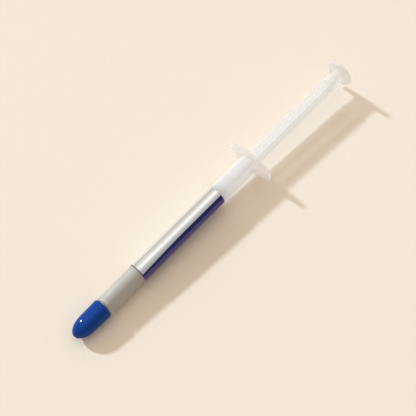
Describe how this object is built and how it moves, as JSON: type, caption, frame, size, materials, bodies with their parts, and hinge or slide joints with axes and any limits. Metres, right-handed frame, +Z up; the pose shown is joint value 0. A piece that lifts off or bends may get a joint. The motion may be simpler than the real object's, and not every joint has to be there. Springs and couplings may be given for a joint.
{
  "type": "thermal paste syringe",
  "caption": "Capped plastic syringe of grey thermal paste, with an oval finger flange, a foil label and a ribbed plunger rod drawn back, lying on its side.",
  "frame": {"origin": "on the table, under the middle of the syringe's length and on its axis's line", "axes": "+X along the table from the cap towards the thumb pad, +Y across the syringe along the finger flange, +Z up from the table"},
  "size_m": [0.14, 0.0194, 0.0134],
  "materials": {
    "clear_polypropylene": "smooth translucent moulding",
    "blue_polyethylene": "smooth moulding with a soft sheen",
    "foil_label": "satin metallised foil with a dark blue printed field",
    "grey_paste": "smooth dense paste",
    "black_rubber": "smooth moulded rubber",
    "natural_polypropylene": "smooth translucent moulding"
  },
  "bodies": {
    "barrel": {"barrel": "clear_polypropylene", "label": "foil_label", "thermal_paste": "grey_paste"},
    "cap": {"cap": "blue_polyethylene"},
    "piston": {"piston_stopper": "black_rubber"},
    "rod": {"plunger_rod": "natural_polypropylene"}
  },
  "joints": [
    {"name": "cap_pull", "type": "slide", "parent": "barrel", "child": "cap", "axis": [-0.9995, 0, -0.0325], "range_m": [0, 0.013]},
    {"name": "plunger_slide", "type": "slide", "parent": "barrel", "child": "piston", "axis": [-0.9995, 0, -0.0325], "range_m": [-0.02, 0.0436], "deforming": ["thermal_paste"]},
    {"name": "rod_twist", "type": "hinge", "parent": "piston", "child": "rod", "pos_m": [-0.00421, 0, 0.00555], "axis": [0.9995, 0, 0.0325], "continuous": true}
  ]
}
